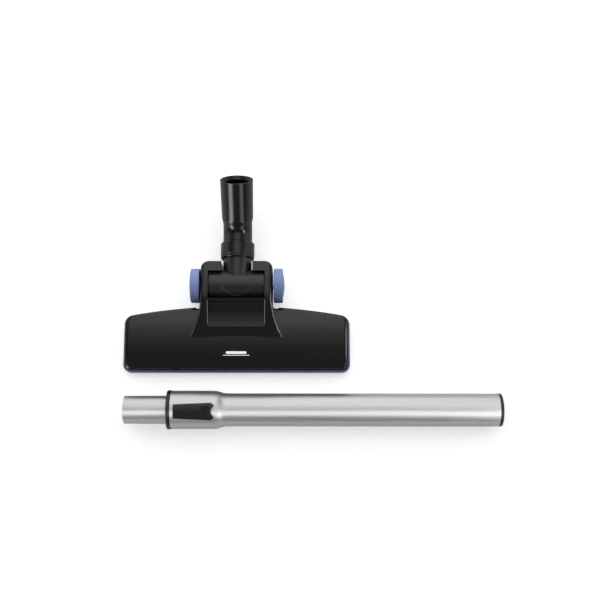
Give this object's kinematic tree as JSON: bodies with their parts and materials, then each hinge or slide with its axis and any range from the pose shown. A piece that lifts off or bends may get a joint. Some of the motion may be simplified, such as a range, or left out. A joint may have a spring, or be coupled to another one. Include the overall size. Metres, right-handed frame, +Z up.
{
  "type": "vacuum floor head and telescopic wand",
  "caption": "Black vacuum floor head with a tilting, swivelling neck, blue wheels and edge strip, beside a satin steel telescopic wand with a slide lock.",
  "frame": {"origin": "centre of the foot of the bounding box of head and wand together, on the floor", "axes": "+X along the wand towards its hose end, +Y to the back of the head, +Z up"},
  "size_m": [0.438, 0.2986, 0.0717],
  "materials": {
    "black_abs": "satin moulded black",
    "black_gloss": "glossy moulded black",
    "black_matte": "fine spark texture",
    "button_plastic": "fine matt",
    "ring_plastic": "satin",
    "bush_plastic": "natural acetal",
    "blue_plastic": "satin periwinkle blue",
    "blue_trim": "soft blue edge strip",
    "tube_steel": "satin",
    "sole_steel": "brushed",
    "screw_steel": "zinc plated",
    "seal_rubber": "matt",
    "bristle": "nylon bristle",
    "lint_velvet": "short nap velvet"
  },
  "bodies": {
    "floor_head": {"top_cover": "black_abs", "lower_housing": "black_matte", "sole_plate": "sole_steel", "furniture_guard": "blue_trim", "front_brush_holder": "black_matte", "rear_brush_holder": "black_matte", "front_bristles": "bristle", "rear_bristles": "bristle", "lint_strips": "lint_velvet", "housing_screws": "screw_steel", "left_pivot_bush": "bush_plastic", "right_pivot_bush": "bush_plastic", "left_wheel_axle": "screw_steel", "right_wheel_axle": "screw_steel", "left_axle_clip": "screw_steel", "right_axle_clip": "screw_steel", "duct_seal": "seal_rubber"},
    "neck_elbow": {"left_elbow_half": "black_gloss", "right_elbow_half": "black_gloss", "swivel_collar": "black_gloss", "swivel_seal": "seal_rubber"},
    "neck_upper": {"neck_tube": "black_gloss"},
    "wheel_left": {"left_wheel": "blue_plastic", "left_wheel_cap": "blue_plastic"},
    "wheel_right": {"right_wheel": "blue_plastic", "right_wheel_cap": "blue_plastic"},
    "wand_outer": {"outer_tube": "tube_steel", "collar_ring": "ring_plastic", "guide_sleeve": "bush_plastic", "end_ring": "ring_plastic"},
    "wand_inner": {"inner_tube": "tube_steel", "inner_guide_ring": "bush_plastic"},
    "wand_button": {"lock_button": "button_plastic", "button_spring": "screw_steel"},
    "wand_roller": {"lock_roller": "screw_steel"}
  },
  "joints": [
    {"name": "neck_tilt", "type": "hinge", "parent": "floor_head", "child": "neck_elbow", "pos_m": [-0.08619, 0.01892, 0.02025], "axis": [1, 0, 0], "range_deg": [0, 90]},
    {"name": "neck_swivel", "type": "hinge", "parent": "neck_elbow", "child": "neck_upper", "pos_m": [-0.08619, 0.05692, 0.02025], "axis": [0, 1, 0], "continuous": true},
    {"name": "wheel_left_spin", "type": "hinge", "parent": "floor_head", "child": "wheel_left", "pos_m": [-0.1342, 0.01892, 0.02025], "axis": [1, 0, 0], "continuous": true},
    {"name": "wheel_right_spin", "type": "hinge", "parent": "floor_head", "child": "wheel_right", "pos_m": [-0.03819, 0.01892, 0.02025], "axis": [1, 0, 0], "continuous": true},
    {"name": "wand_lift", "type": "slide", "parent": "floor_head", "child": "wand_outer", "axis": [0, 0, 1], "range_m": [0, 0.12]},
    {"name": "wand_extend", "type": "slide", "parent": "wand_outer", "child": "wand_inner", "axis": [-1, 0, 0.009], "range_m": [0, 0.25]},
    {"name": "lock_button_slide", "type": "slide", "parent": "wand_outer", "child": "wand_button", "axis": [1, 0, -0.009], "range_m": [0, 0.0055], "stiffness_N_per_m": 400, "springref_m": -0.003, "deforming": ["button_spring"]},
    {"name": "lock_roller_drop", "type": "slide", "parent": "wand_outer", "child": "wand_roller", "axis": [0.0088, -0.1805, 0.9835], "range_m": [-0.0014, 0]}
  ]
}
